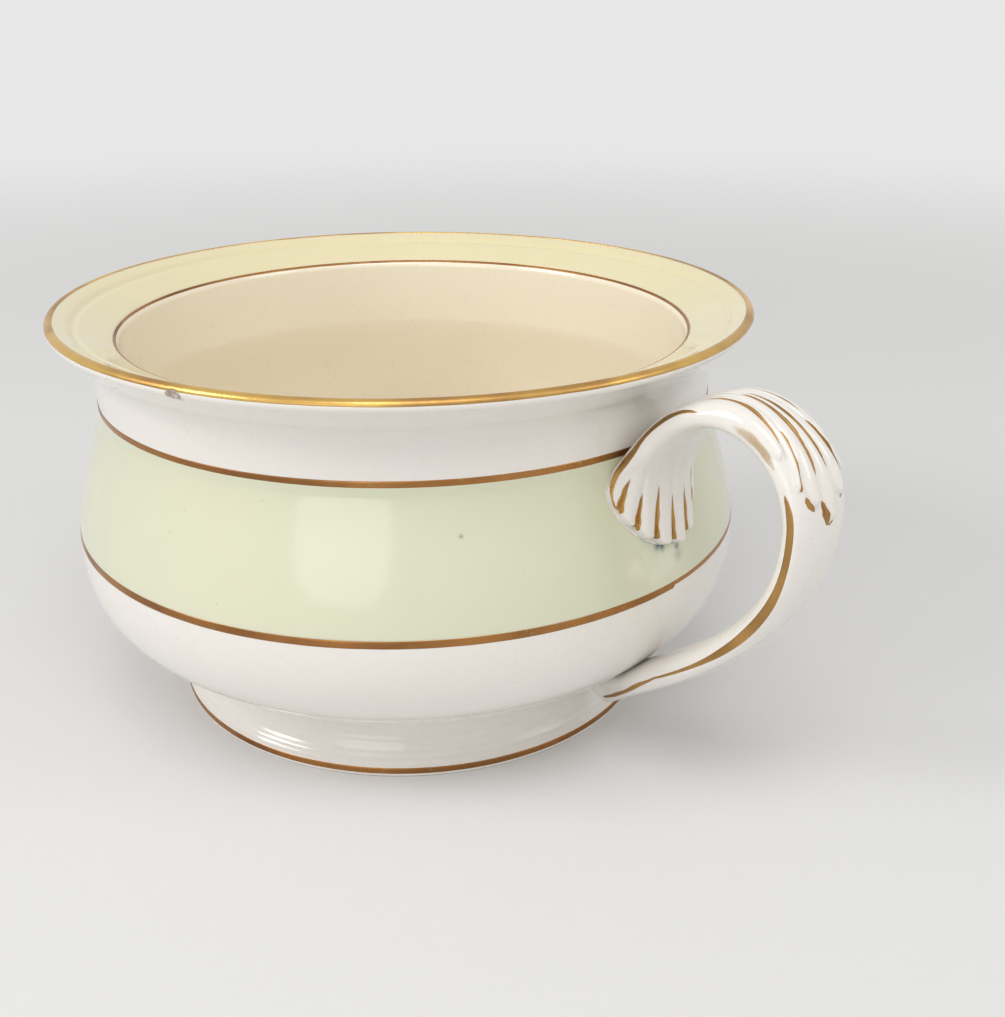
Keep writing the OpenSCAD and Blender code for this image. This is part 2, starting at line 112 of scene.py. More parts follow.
def gridPiece(name, grids, wrapRows, wrapColumns, caps=False):
    points, faces = [], []
    for grid in grids:
        index = np.arange(grid.shape[0] * grid.shape[1]).reshape(grid.shape[:2]) + len(points)
        faces += gridFaces(index, wrapRows, wrapColumns, caps)
        points += (grid.reshape(-1, 3) * mm).tolist()
    mesh = bpy.data.meshes.new(name)
    mesh.from_pydata(points, [], faces)
    tidy = bmesh.new()
    tidy.from_mesh(mesh)
    bmesh.ops.recalc_face_normals(tidy, faces=tidy.faces)
    tidy.to_mesh(mesh)
    tidy.free()
    mesh.shade_smooth()
    piece = bpy.data.objects.new(name, mesh)
    bpy.context.scene.collection.objects.link(piece)
    return piece


def spun(radius, height, angles):  # radius and height have one row for each bearing, or one for all
    around = np.radians(angles)[:, None]
    return np.stack([radius * np.cos(around), radius * np.sin(around), height + 0 * around], -1)


def turned(line, angles):  # spins a line of [radius, height] round the axis
    return spun(line[None, :, 0], line[None, :, 1], angles)


def evenBearings(count, start):
    return np.linspace(start, start + 360, count + 1)[:-1]


def closeTo(bearing, width):  # fine steps on both sides of a bearing
    return np.arange(bearing - width, bearing + width, 0.1)


def bearings(*groups):  # one rising list, with nothing twice
    return np.unique(np.round(np.concatenate(groups), 4))


def markPoints(piece, name, values):
    layer = piece.data.attributes.new(name, "FLOAT", "POINT")
    layer.data.foreach_set("value", np.ravel(values).astype(np.float32))


def place(piece, material, node):
    piece.data.materials.append(material)
    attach(piece, "root")
    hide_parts(node)


# shader nodes
class Wire:
    def __init__(self, finish, socket):
        self.finish = finish
        self.socket = socket

    def __add__(self, other):
        return self.finish.maths("ADD", self, other)

    def __radd__(self, other):
        return self.finish.maths("ADD", other, self)

    def __sub__(self, other):
        return self.finish.maths("SUBTRACT", self, other)

    def __rsub__(self, other):
        return self.finish.maths("SUBTRACT", other, self)

    def __mul__(self, other):
        return self.finish.maths("MULTIPLY", self, other)

    def __rmul__(self, other):
        return self.finish.maths("MULTIPLY", other, self)


class Finish:
    def __init__(self, name, **fixed):
        self.material = bpy.data.materials.new(name)
        self.material.use_nodes = True
        self.tree = self.material.node_tree
        self.shader = self.tree.nodes["Principled BSDF"]
        for socket, value in fixed.items():
            self.shader.inputs[socket.replace("_", " ")].default_value = value

    def add(self, kind, settings, sockets, out=0):
        node = self.tree.nodes.new(kind)
        for key, value in settings.items():
            setattr(node, key, value)
        for key, value in sockets.items():
            if isinstance(value, Wire):
                self.tree.links.new(value.socket, node.inputs[key])
            else:
                node.inputs[key].default_value = value
        return Wire(self, node.outputs[out])

    def maths(self, operation, a, b):
        return self.add("ShaderNodeMath", {"operation": operation}, {0: a, 1: b})

    def backdropRay(self):  # 1 where the floor or the sky is only looked at or mirrored
        path = self.add("ShaderNodeLightPath", {}, {})
        outputs = path.socket.node.outputs
        seen = Wire(self, outputs["Is Camera Ray"]) + Wire(self, outputs["Is Glossy Ray"])
        return self.maths("MINIMUM", seen + Wire(self, outputs["Is Transmission Ray"]), 1.0)

    def show(self, wire):
        self.tree.links.new(wire.socket, self.tree.nodes["Material Output"].inputs["Surface"])

    def spot(self):
        return self.add("ShaderNodeTexCoord", {}, {}, "Object")

    def split(self, vector, axis):
        return self.add("ShaderNodeSeparateXYZ", {}, {0: vector}, axis)

    def noise(self, scale, detail=4.0, rough=0.55):
        return self.add("ShaderNodeTexNoise", {}, {"Vector": self.spot(), "Scale": scale,
                                                   "Detail": detail, "Roughness": rough})

    def step(self, value, low, high):  # 0 below low, 1 above high
        return self.add("ShaderNodeMapRange", {"interpolation_type": "SMOOTHSTEP"},
                        {"Value": value, "From Min": low, "From Max": high})

    def specks(self, scale):  # a dot near the middle of some cells
        cell = {"Vector": self.spot(), "Scale": scale}
        near = self.add("ShaderNodeTexVoronoi", {}, cell, "Distance")
        pick = self.split(self.add("ShaderNodeTexVoronoi", {}, cell, "Color"), 0)
        return self.step(near, 0.08, 0.04) * self.step(pick, 0.7, 0.72)

    def blend(self, share, a, b):
        return self.add("ShaderNodeMix", {"data_type": "RGBA"}, {0: share, 6: a, 7: b}, 2)

    def crackle(self, scale, drift, push, width):  # fine lines between cells that wander a little
        swirl = self.add("ShaderNodeTexNoise", {}, {"Vector": self.spot(), "Scale": drift}, "Color")
        wander = self.add("ShaderNodeVectorMath", {"operation": "MULTIPLY_ADD"},
                          {0: swirl, 1: (push, push, push), 2: self.spot()})
        edge = self.add("ShaderNodeTexVoronoi", {"feature": "DISTANCE_TO_EDGE"},
                        {"Vector": wander, "Scale": scale})
        return self.step(edge, width, 0.0)

    def mark(self, name):
        return self.add("ShaderNodeAttribute", {"attribute_name": name}, {}, "Fac")

    def into(self, socket, wire):
        self.tree.links.new(wire.socket, self.shader.inputs[socket])

    def bump(self, height, distance, strength):
        self.into("Normal", self.add("ShaderNodeBump", {}, {"Strength": strength, "Distance": distance,
                                                            "Height": height}))


class Backdrop(Finish):
    def __init__(self, world, tint):
        world.use_nodes = True
        self.tree = world.node_tree
        self.shader = self.tree.nodes["Background"]
        self.shader.inputs["Color"].default_value = tint

    def strength(self, wire):
        self.into("Strength", wire)


def colour(r, g, b):
    return (r, g, b, 1.0)


# glaze, grounds and gilding
glassy = dict(IOR=1.52, Coat_Roughness=0.08)
glazeLook = dict(white=colour(0.835, 0.805, 0.762), shade=colour(0.790, 0.752, 0.702), clouds=9.0,
                 cream=colour(0.930, 0.852, 0.690), creamShow=0.9,
                 craze=colour(0.52, 0.45, 0.36), crazeCells=210.0, crazeDrift=90.0, crazePush=0.004,
                 crazeWidth=0.025, crazeShow=0.10,
                 speck=colour(0.20, 0.13, 0.08), speckCells=300.0, speckShow=0.35,
                 bare=colour(0.42, 0.35, 0.29), bareGrain=900.0, barePits=1500.0, bareRough=0.45,
                 gloss=0.12, scuff=0.09, scuffScale=70.0, coat=0.5,
                 ripple=22.0, fineRipple=260.0, deep=0.0006, strength=0.35)


def glazeFinish(name):
    look = glazeLook
    f = Finish(name, **glassy)
    body = f.blend(f.noise(look["clouds"], 3.0), look["white"], look["shade"])
    body = f.blend(f.mark("inside") * look["creamShow"], body, look["cream"])
    craze = f.crackle(look["crazeCells"], look["crazeDrift"], look["crazePush"], look["crazeWidth"])
    body = f.blend(craze * look["crazeShow"], body, look["craze"])
    body = f.blend(f.specks(look["speckCells"]) * look["speckShow"], body, look["speck"])
    body = f.blend(f.mark("chip") * f.step(f.noise(look["bareGrain"]), 0.25, 0.6), body, look["bare"])
    f.into("Base Color", body)
    scuff = f.step(f.noise(look["scuffScale"], 6.0, 0.7), 0.5, 0.75)
    f.into("Roughness", look["gloss"] + look["scuff"] * scuff + look["bareRough"] * f.mark("chip"))
    f.into("Coat Weight", look["coat"] - look["coat"] * f.mark("chip"))
    ripple = f.noise(look["ripple"], 2.0) + 0.05 * f.noise(look["fineRipple"], 2.0)
    f.bump(ripple + 0.5 * f.mark("chip") * f.noise(look["barePits"]), look["deep"], look["strength"])
    return f.material


# in the ground's look the pale colour is a painted reflection below the handle's shell
groundLook = dict(rim=(colour(0.790, 0.708, 0.436), colour(0.760, 0.688, 0.420)),
                  body=(colour(0.655, 0.668, 0.492), colour(0.700, 0.698, 0.522)), clouds=14.0,
                  # the dark teal colour is pooled ground, partly painted contact shadow under the shell's
                  # tips
                  pale=colour(0.760, 0.760, 0.600), paleReflectionScale=120.0, poolAndShadow=colour(0.10, 0.17, 0.15),
                  fleck=colour(0.24, 0.22, 0.14), speckCells=260.0, speckShow=0.35,
                  gloss=0.13, scuff=0.09, scuffScale=80.0, coat=0.5, coatLess=0.2,
                  ripple=22.0, fineRipple=300.0, deep=0.0006, strength=0.35)


def groundFinish(name, colours):
    look = groundLook
    f = Finish(name, **glassy)
    cloud = f.step(f.noise(look["clouds"], 4.0), 0.3, 0.7)
    tint = f.blend(cloud, colours[0], colours[1])
    # pale patches below the shell are a painted reflection, broken up by noise
    eased = f.step(f.noise(look["paleReflectionScale"], 3.0), 0.3, 0.6)
    tint = f.blend(f.mark("pale") * eased, tint, look["pale"])
    tint = f.blend(f.specks(look["speckCells"]) * look["speckShow"], tint, look["fleck"])
    tint = f.blend(f.mark("fleck"), tint, look["fleck"])
    # dark teal spots under the shell's tips: pooled ground, partly painted contact shadow
    tint = f.blend(f.mark("poolAndShadow"), tint, look["poolAndShadow"])
    f.into("Base Color", tint)
    scuff = f.step(f.noise(look["scuffScale"], 6.0, 0.7), 0.5, 0.75)
    f.into("Roughness", look["gloss"] + look["scuff"] * scuff)
    f.into("Coat Weight", look["coat"] - look["coatLess"] * cloud)
    ripple = f.noise(look["ripple"], 2.0) + 0.08 * f.noise(look["fineRipple"], 2.0)
    f.bump(ripple, look["deep"], look["strength"])
    return f.material


# one gilding: the lip's gold is painted brighter as a painted highlight, and the lines' gold darker as a
# painted dark reflection
giltLook = dict(lip=(colour(0.780, 0.510, 0.150), colour(0.420, 0.225, 0.072)),
                lines=(colour(0.445, 0.208, 0.064), colour(0.235, 0.105, 0.040)),
                brushed=(colour(0.560, 0.320, 0.105), colour(0.270, 0.150, 0.055)),
                worn=colour(0.400, 0.280, 0.150), thin=colour(0.600, 0.400, 0.160),
                patchScale=26.0, grainScale=800.0, rubScale=310.0, rubShow=0.5, thinShow=0.85,
                metal=0.95, rubLess=0.35, thinLess=0.7, gloss=0.20, rough=0.12,
                hold=1.6, edgeScale=420.0, thinEven=0.8, dentScale=60.0, deep=0.00015, strength=0.5)


def giltFinish(name, colours):  # cover says how well the gold lies on the glaze
    look = giltLook
    f = Finish(name, IOR=1.5)
    patch = f.step(f.noise(look["patchScale"], 3.0), 0.38, 0.66)
    grain = f.noise(look["grainScale"], 4.0, 0.6)
    rubbed = f.step(f.noise(look["rubScale"], 5.0, 0.65), 0.60, 0.74)
    tone = f.blend(0.8 * patch + 0.2 * grain, colours[0], colours[1])
    tone = f.blend(rubbed * look["rubShow"], tone, look["worn"])
    thin = f.step(f.mark("cover"), 0.55, 0.35)
    f.into("Base Color", f.blend(look["thinShow"] * thin, tone, look["thin"]))
    f.into("Metallic", (look["metal"] - look["rubLess"] * rubbed) * (1.0 - look["thinLess"] * thin))
    f.into("Roughness", look["gloss"] + look["rough"] * grain + look["rough"] * patch)
    edge = f.noise(look["edgeScale"], 5.0, 0.7)
    held = look["hold"] * f.mark("cover") + edge + look["thinEven"] * thin * (0.5 - edge)
    f.into("Alpha", f.step(held, 0.75, 1.5))
    f.bump(grain + f.noise(look["dentScale"], 3.0), look["deep"], look["strength"])
    return f.material


clayGlaze = glazeFinish("ivoryGlaze")
rimGround = groundFinish("paleYellowGround", groundLook["rim"])
bodyGround = groundFinish("celadonGround", groundLook["body"])
lipGilt = giltFinish("lipGilding", giltLook["lip"])
lineGilt = giltFinish("lineGilding", giltLook["lines"])
brushGilt = giltFinish("brushedGilding", giltLook["brushed"])
print("finishes ready")

# the bowl: one turned line, up the outside, over the lip and down the inside
bowl = dict(footHeight=11.5, lowerHeight=44.0, shoulderHeight=42.5, collarHeight=12.0, rimHeight=17.6,
            baseWidth=129.0, bellyWidth=213.6, collarWidth=193.2, rimWidth=218.2, throatWidth=177.4,
            wall=6.0, floor=6.5, lip=3.6, throatTurn=3.0, rimSlope=23.4, underSlope=35.0,
            riseAngle=30.0, risePull=28.5, bellyPullLow=25.0, bellyPullHigh=17.0,
            shoulderPull=3.0, flarePull=6.0, grooveIn=5.2, grooveWidth=2.0, grooveDepth=0.6,
            hub=0.5, around=320)
bellyHeight = bowl["footHeight"] + bowl["lowerHeight"]
collarFoot = bellyHeight + bowl["shoulderHeight"]
flareFoot = collarFoot + bowl["collarHeight"]
lipRadius = bowl["lip"] / 2
lipMiddle = np.array([bowl["rimWidth"] / 2 - lipRadius, flareFoot + bowl["rimHeight"] - lipRadius])
baseEdge = np.array([bowl["baseWidth"] / 2, bowl["footHeight"]])
bellyPoint = np.array([bowl["bellyWidth"] / 2, bellyHeight])
collarPoint = np.array([bowl["collarWidth"] / 2, collarFoot])
flarePoint = np.array([bowl["collarWidth"] / 2, flareFoot])
lipStart = lipMiddle + polar(lipRadius, bowl["underSlope"] - 90)
lipEnd = lipMiddle + polar(lipRadius, 90 + bowl["rimSlope"])

lowerWall = curve([baseEdge, baseEdge + polar(bowl["risePull"], bowl["riseAngle"]),
                   bellyPoint - [0, bowl["bellyPullLow"]], bellyPoint], 56)
upperWall = curve([bellyPoint, bellyPoint + [0, bowl["bellyPullHigh"]],
                   collarPoint - [0, bowl["shoulderPull"]], collarPoint], 48)
collarWall = curve([collarPoint, mix(collarPoint, flarePoint, 0.3), mix(collarPoint, flarePoint, 0.7),
                    flarePoint], 10)
rimUnder = curve([flarePoint, flarePoint + [0, bowl["flarePull"]],
                  lipStart - polar(bowl["flarePull"], bowl["underSlope"]), lipStart], 28)
outerWall = joined(baseEdge, lowerWall, upperWall, collarWall, rimUnder)
lipArc = arc(lipMiddle, lipRadius, bowl["underSlope"] - 90, 90 + bowl["rimSlope"], 24)[1:]


def onRim(radius):
    return np.array([radius, lipEnd[1] - (lipEnd[0] - radius) * math.tan(math.radians(bowl["rimSlope"]))])


turnRadius = bowl["throatWidth"] / 2 + bowl["throatTurn"] * (1 - math.sin(math.radians(bowl["rimSlope"])))
turnMiddle = onRim(turnRadius) - polar(bowl["throatTurn"], 90 + bowl["rimSlope"])
throatArc = arc(turnMiddle, bowl["throatTurn"], 90 + bowl["rimSlope"], 180, 14)
grooveRadius = lipEnd[0] - bowl["grooveIn"]


def rimFaceLine(steps):
    line = np.array([onRim(r) for r in np.linspace(lipEnd[0], throatArc[0][0], steps + 1)])
    dip = np.exp(-((line[:, 0] - grooveRadius) / (bowl["grooveWidth"] / 2)) ** 2)
    line[:, 1] -= bowl["grooveDepth"] * dip
    return line


rimFace = rimFaceLine(48)
wallOnly = joined(baseEdge, lowerWall, upperWall)
cupLine = (wallOnly - bowl["wall"] * facing(wallOnly))[::-1]
floorLine = mix(cupLine[-1], np.array([bowl["hub"], bowl["footHeight"] + bowl["floor"]]),
                np.linspace(0, 1, 14)[1:, None])
clayLine = joined([bowl["hub"], bowl["footHeight"]], outerWall, lipArc, rimFace[1:], throatArc[1:],
                  cupLine, floorLine)


def wallRadius(z):
    return np.interp(z, outerWall[:, 1], outerWall[:, 0])


chip = dict(bearing=-75.8, lowOnLip=-40.0, radius=3.1, standOut=1.5, fine=3.4)


def chipTop(angles):  # how far up the lip the chip reaches at each bearing, in degrees
    aside = np.radians((angles - chip["bearing"] + 180) % 360 - 180) * lipMiddle[0]
    out = lipRadius + chip["standOut"]
    cosine = (lipRadius ** 2 + out ** 2 - chip["radius"] ** 2 + aside ** 2) / (2 * lipRadius * out)
    return chip["lowOnLip"] + np.degrees(np.arccos(np.clip(cosine, -1, 1)))


chipBearings = closeTo(chip["bearing"] % 360, chip["fine"])
bowlBearings = bearings(evenBearings(bowl["around"], 0), chipBearings)


def makeBowl():
    grid = turned(clayLine, bowlBearings)
    spot = lipMiddle + polar(lipRadius + chip["standOut"], chip["lowOnLip"])
    turn = math.radians(chip["bearing"])
    middle = np.array([spot[0] * math.cos(turn), spot[0] * math.sin(turn), spot[1]])
    away = grid - middle
    reach = np.linalg.norm(away, axis=-1)
    broken = reach < chip["radius"]
    grid[broken] = (middle + away / reach[..., None] * chip["radius"])[broken]
    piece = gridPiece("bowl_glazed", [grid], True, False, True)
    inside = np.zeros(grid.shape[:2])
    firstInside = len(clayLine) - len(cupLine) - len(floorLine) - len(throatArc) + 1
    inside[:, firstInside:] = 1.0
    markPoints(piece, "inside", inside)
    markPoints(piece, "chip", broken)
    place(piece, clayGlaze, "bowl")


makeBowl()

# the foot ring
foot = dict(width=157.0, crease=145.2, seat=6.4, tread=7.0, edge=3.2, edgeRound=0.7,
            fall=0.4, run=0.6, lift=1.9, bed=0.5, ridge=0.03, ridgeEvery=2.2, ridgeFade=2.0)
footRadius = foot["width"] / 2
creaseRadius = foot["crease"] / 2
seatHeight = np.interp(creaseRadius, lowerWall[:, 0], lowerWall[:, 1])
innerSeat = creaseRadius - foot["seat"]
footCorner = np.array([footRadius, foot["edge"]])
footTop = np.array([creaseRadius, seatHeight])
plainFlare = curve([footTop, footTop - [0, seatHeight * foot["fall"]],
                    footCorner + [(creaseRadius - footRadius) * foot["run"], foot["lift"]], footCorner], 96)


def ridged(line):  # shallow ridges left by the turning tool
    length = lineLength(line)
    fade = ease(length / foot["ridgeFade"]) * ease((length[-1] - length) / foot["ridgeFade"])
    wave = np.sin(2 * math.pi * length / foot["ridgeEvery"])
    return line + facing(line) * (foot["ridge"] * fade * wave)[:, None]


footFlare = ridged(plainFlare)
treadRadius = footRadius - foot["edgeRound"] - foot["tread"]
toeOut = arc(np.array([footRadius - foot["edgeRound"], foot["edgeRound"]]), foot["edgeRound"], 0, -90, 6)
toeIn = arc(np.array([treadRadius, foot["edgeRound"]]), foot["edgeRound"], -90, -180, 6)


def makeFoot():
    seat = np.linspace(innerSeat, creaseRadius, 9)
    seatLine = np.stack([seat, np.interp(seat, lowerWall[:, 0], lowerWall[:, 1]) + foot["bed"]], 1)
    line = joined(seatLine, footFlare, toeOut, toeIn)
    piece = gridPiece("foot_ring_glazed", [turned(line, bowlBearings)], True, True)
    place(piece, clayGlaze, "foot_ring")


makeFoot()
print("bowl and foot turned")

# fired layers: thin bands on the glaze, with edges that waver like brushwork
layers = dict(groundThick=0.10, giltThick=0.16, sunk=0.05, waver=0.10, around=400,
              bellyLineUp=4.7, bellyLineWidth=2.3, shoulderLineUp=3.2, shoulderLineWidth=2.0,
              footLineUp=1.1, footLineShort=0.05, lipFrom=2.0, lipPast=4.0, lipLow=0.3, lipShort=0.15,
              throatFrom=2.4, throatTo=3.4, rimGroundFrom=0.1, rimGroundPast=0.5, rimGroundWaver=0.03)
brushJoin = dict(bearing=0.6, step=0.75, run=0.5, fadeFrom=110, fadeOver=50)
bellyLine = bellyHeight + layers["bellyLineUp"]
shoulderLine = collarFoot + layers["shoulderLineUp"]


def waves(angles, seed):  # a repeatable waver round the pot
    turn = np.radians(angles)
    random = np.random.default_rng(seed)
    total = np.zeros_like(turn)
    for count in (2, 3, 5, 9, 14, 23, 37, 61):
        phase = random.uniform(0, 2 * math.pi)
        size = random.uniform(0.4, 1.0) / count ** 0.4
        total += np.sin(count * turn + phase) * size
    return total / 2.2


def band(name, line, start, end, thick, seed, waver, angles, steps=10, raised=0.0):
    length = lineLength(line)
    out = facing(line)
    low = start + waver * waves(angles, seed) + raised
    high = end + waver * waves(angles, seed + 1)
    t = np.linspace(0, 1, steps + 1)
    at = low[:, None] + (high - low)[:, None] * t[None, :]
    crown = thick * (1 - np.abs(2 * t - 1) ** 6)

    def pick(values):
        return np.stack([np.interp(at, length, values[:, column]) for column in (0, 1)], -1)

    normal = pick(out)
    skin = pick(line)
    top = skin + normal * crown[None, :, None]
    under = (skin - normal * layers["sunk"])[:, ::-1]
    section = np.concatenate([top, under], 1)
    grid = spun(section[..., 0], section[..., 1], angles)
    piece = gridPiece(name, [grid], True, True)
    markPoints(piece, "cover", np.ones(grid.shape[:2]))
    return piece


def heightToLength(line, z):
    return np.interp(z, line[:, 1], lineLength(line))


def makeLines():
    angles = bearings(evenBearings(layers["around"], 0), np.arange(0, 2, 0.1))
    wave = layers["waver"]
    thick = layers["giltThick"]
    # the belly line was brushed in two goes, and its ends don't quite meet
    begun = ease((angles - brushJoin["bearing"]) / brushJoin["run"])
    eased = ease((angles - brushJoin["fadeFrom"]) / brushJoin["fadeOver"])
    thinner = brushJoin["step"] * begun * (1 - eased)
    for name, middle, width, seed, raised in (
            ("belly_gilt_line", bellyLine, layers["bellyLineWidth"], 3, thinner),
            ("shoulder_gilt_line", shoulderLine, layers["shoulderLineWidth"], 7, 0.0)):
        low = heightToLength(outerWall, middle - width / 2)
        high = heightToLength(outerWall, middle + width / 2)
        place(band(name + "_brushed", outerWall, low, high, thick, seed, wave, angles, raised=raised),
              lineGilt, name)
    edgeLine = np.array([[footRadius, z] for z in np.linspace(foot["edgeRound"], foot["edge"], 12)])
    edgeLine = joined(edgeLine, footFlare[::-1][1:4])
    low = layers["footLineUp"] - foot["edgeRound"]
    high = foot["edge"] - foot["edgeRound"] - layers["footLineShort"]
    place(band("foot_gilt_line_brushed", edgeLine, low, high, thick, 11, wave * 0.7, angles),
          lineGilt, "foot_gilt_line")
    lipLine = arc(lipMiddle, lipRadius, layers["lipFrom"], 90 + bowl["rimSlope"] + layers["lipPast"], 40)
    low = layers["lipLow"]
    high = lineLength(lipLine)[-1] - layers["lipShort"]
    lipBearings = bearings(angles, chipBearings)
    bitten = np.maximum(0, np.radians(chipTop(lipBearings) - layers["lipFrom"]) * lipRadius - low)
    place(band("rim_gilt_edge_brushed", lipLine, low, high, thick, 15, wave, lipBearings, 18, bitten),
          lipGilt, "rim_gilt_edge")
    turnLine = joined(rimFace[-6:-1], throatArc)
    low, high = layers["throatFrom"], layers["throatTo"]
    place(band("throat_gilt_line_brushed", turnLine, low, high, thick, 19, wave * 0.6, angles),
          lineGilt, "throat_gilt_line")
    rimLine = joined(rimFace, throatArc[1:])
    low = layers["rimGroundFrom"]
    high = lineLength(rimLine)[len(rimFace) - 1] + layers["rimGroundPast"]
    place(band("rim_ground_band", rimLine, low, high, layers["groundThick"], 23, layers["rimGroundWaver"],
               angles, 60), rimGround, "rim_green_band")


makeLines()
print("lines and rim ground laid")

# the handle's path, the same three curves as the CAD: [x, z, half width, half thickness]
handle = dict(rootDown=6.0, rootOff=0.4, tailUp=8.0, archRise=24.8, archOut=25.8, archDrop=25.4,
              standOff=42.0, shellWidth=38.0, archWidth=23.2, strapWidth=25.0, tailWidth=16.6, bulge=2.6,
              shellThick=11.0, archThick=8.0, strapThick=9.0, tailThick=8.6, tailHang=6.6, lute=0.05,
              rootAngle=73.0, rootPull=0.64, rootTaper=0.6, topPullIn=0.48, topPullOut=0.5,
              outPullUp=0.58, outPullDown=1.12, tailAngle=31.0, tailPull=1.1, tailTaper=0.5,
              flutes=9, fluteHeight=1.6, fluteRound=2.2, fluteMiddle=0.35, fluteReach=0.62,
              shellDrop=19.2, shellRise=7.2, shellTop=5, shellLip=2.2, lipShare=0.06,
              scallop=2.2, scallopMiddle=0.6, nearPoint=1.15, farPoint=3.0, lean=3.6, shift=0.4,
              shellEnd=0.3, shellBend=1.15, tailStart=2.88, tailLow=3.4, tailHigh=4.0, tailTip=10.0,
              tailFoot=8.0, tailShift=4.2, tailReach=(1.4, 3.8), tailDrop=(0.8, 2.0), tailCorner=0.66)
leaf = dict(height=1.4, crease=0.3, start=0.72, full=1.15, edge=0.045, tips=(1.96, 1.85, 1.74, 1.53),
            notches=(1.79, 1.69, 1.46), furrowTop=(0.06, 0.30, 0.48), furrowEnd=(0.27, 0.76, 0.94),
            furrowPlace=(1.79, 1.69, 1.69), swing=2.0, pillow=2.4, blob=(0.15, 0.09), pastTip=0.012)
rows = dict(shell=56, leaf=220, strap=96, tail=30, outer=161, perFlute=18, shellCrowd=1.6, leafEnd=2.02)
# rows that are evened out where two ways of drawing meet: rows before, rows after, times
joins = dict(shell=(8, 14, 24), tail=(8, 6, 20), pastTail=8, pastTailTimes=6)

rootHeight = collarFoot - handle["rootDown"]
tailHeight = bowl["footHeight"] + handle["tailUp"]
root = np.array([wallRadius(rootHeight) + handle["rootOff"], rootHeight])
top = root + [handle["archOut"], handle["archRise"]]
outermost = np.array([bellyPoint[0] + handle["standOff"], top[1] - handle["archDrop"]])
tail = np.array([wallRadius(tailHeight) + handle["tailHang"], tailHeight])
rootSize = np.array([handle["shellWidth"], handle["shellThick"]]) / 2
topSize = np.array([handle["archWidth"], handle["archThick"]]) / 2
outSize = np.array([handle["strapWidth"], handle["strapThick"]]) / 2
tailSize = np.array([handle["tailWidth"], handle["tailThick"]]) / 2


def knot(point, size):
    return np.concatenate([point, size])


legs = np.array([
    [knot(root, rootSize),
     knot(root + polar(handle["archRise"] * handle["rootPull"], handle["rootAngle"]),
          mix(rootSize, topSize, handle["rootTaper"])),
     knot(top - [handle["archOut"] * handle["topPullIn"], 0], topSize),
     knot(top, topSize)],
    [knot(top, topSize),
     knot(top + [(outermost[0] - top[0]) * handle["topPullOut"], 0], topSize),
     knot(outermost + [0, handle["archDrop"] * handle["outPullUp"]], outSize),
     knot(outermost, outSize)],
    [knot(outermost, outSize),
     knot(outermost - [0, handle["archDrop"] * handle["outPullDown"]], outSize),
     knot(tail + polar(handle["standOff"] * handle["tailPull"], handle["tailAngle"]),
          mix(tailSize, outSize, handle["tailTaper"])),
     knot(tail, tailSize)]])


def alongPath(s, rule):
    s = np.atleast_1d(np.asarray(s, float))
    leg = np.clip(np.floor(s), 0, 2).astype(int)
    return np.array([rule(legs[k], t) for k, t in zip(leg, s - leg)])


def crown(y):
    return np.maximum(0, 1 - np.abs(y) ** handle["bulge"]) ** (1 / handle["bulge"])


def strapRing(s, y, side, lift):  # one ring: y across the strap, side 1 on the outer face and -1 inside
    spot = alongPath(s, bezier)[0]
    way = alongPath(s, bezierHeading)[0][:2]
    out = np.array([-way[1], way[0]]) / np.linalg.norm(way)
    height = side * spot[3] * crown(y) + lift
    return np.stack([spot[0] + out[0] * height, y * spot[2], spot[1] + out[1] * height], -1)


# the leaf: lobes with furrows between them, standing proud of the strap
def furrowAt(k, s):
    run = clamp01((s - leaf["start"]) / (leaf["furrowPlace"][k] - leaf["start"]))
    return mix(leaf["furrowTop"][k], leaf["furrowEnd"][k], run ** leaf["swing"])


def lobePlace(s, y):
    reach = np.abs(y)
    lines = [np.full_like(reach, furrowAt(k, s)) for k in range(3)]
    lobe = sum((reach > line).astype(int) for line in lines)
    low = np.choose(lobe, [-lines[0], lines[0], lines[1], lines[2]])
    high = np.choose(lobe, [lines[0], lines[1], lines[2], np.ones_like(reach)])
    return lobe, (2 * reach - low - high) / (high - low)


def leafMargin(lobe, inLobe):
    notch = np.array(leaf["notches"])
    inner = notch[np.clip(lobe - 1, 0, 2)]
    outer = notch[np.clip(lobe, 0, 2)]
    low = np.where((inLobe < 0) & (lobe > 0), inner, outer)
    return mix(np.array(leaf["tips"])[lobe], low, inLobe ** 2)


def leafLift(s, y):
    lobe, inLobe = lobePlace(s, y)
    deep = mix(leaf["crease"], 1.0, ease((s - leaf["full"]) / (leaf["notches"][1] - leaf["full"])))
    deep = np.where((lobe == 3) & (inLobe > 0), 1.0, deep)
    pillow = 1 - deep * np.abs(inLobe) ** leaf["pillow"]
    margin = np.sin(math.pi / 2 * clamp01((leafMargin(lobe, inLobe) - s) / leaf["edge"]))
    rise = ease((s - leaf["start"]) / (leaf["full"] - leaf["start"]))
    return leaf["height"] * rise * pillow * margin


# places on the bowl's outside, as [sideways, height, distance off the wall]
def onWall(p):
    radius = wallRadius(p[:, 1]) + p[:, 2]
    return np.stack([np.sqrt(radius ** 2 - p[:, 0] ** 2), p[:, 0], p[:, 1]], -1)


def offWall(p):
    return np.stack([p[:, 1], p[:, 2], np.hypot(p[:, 0], p[:, 1]) - wallRadius(p[:, 2])], -1)


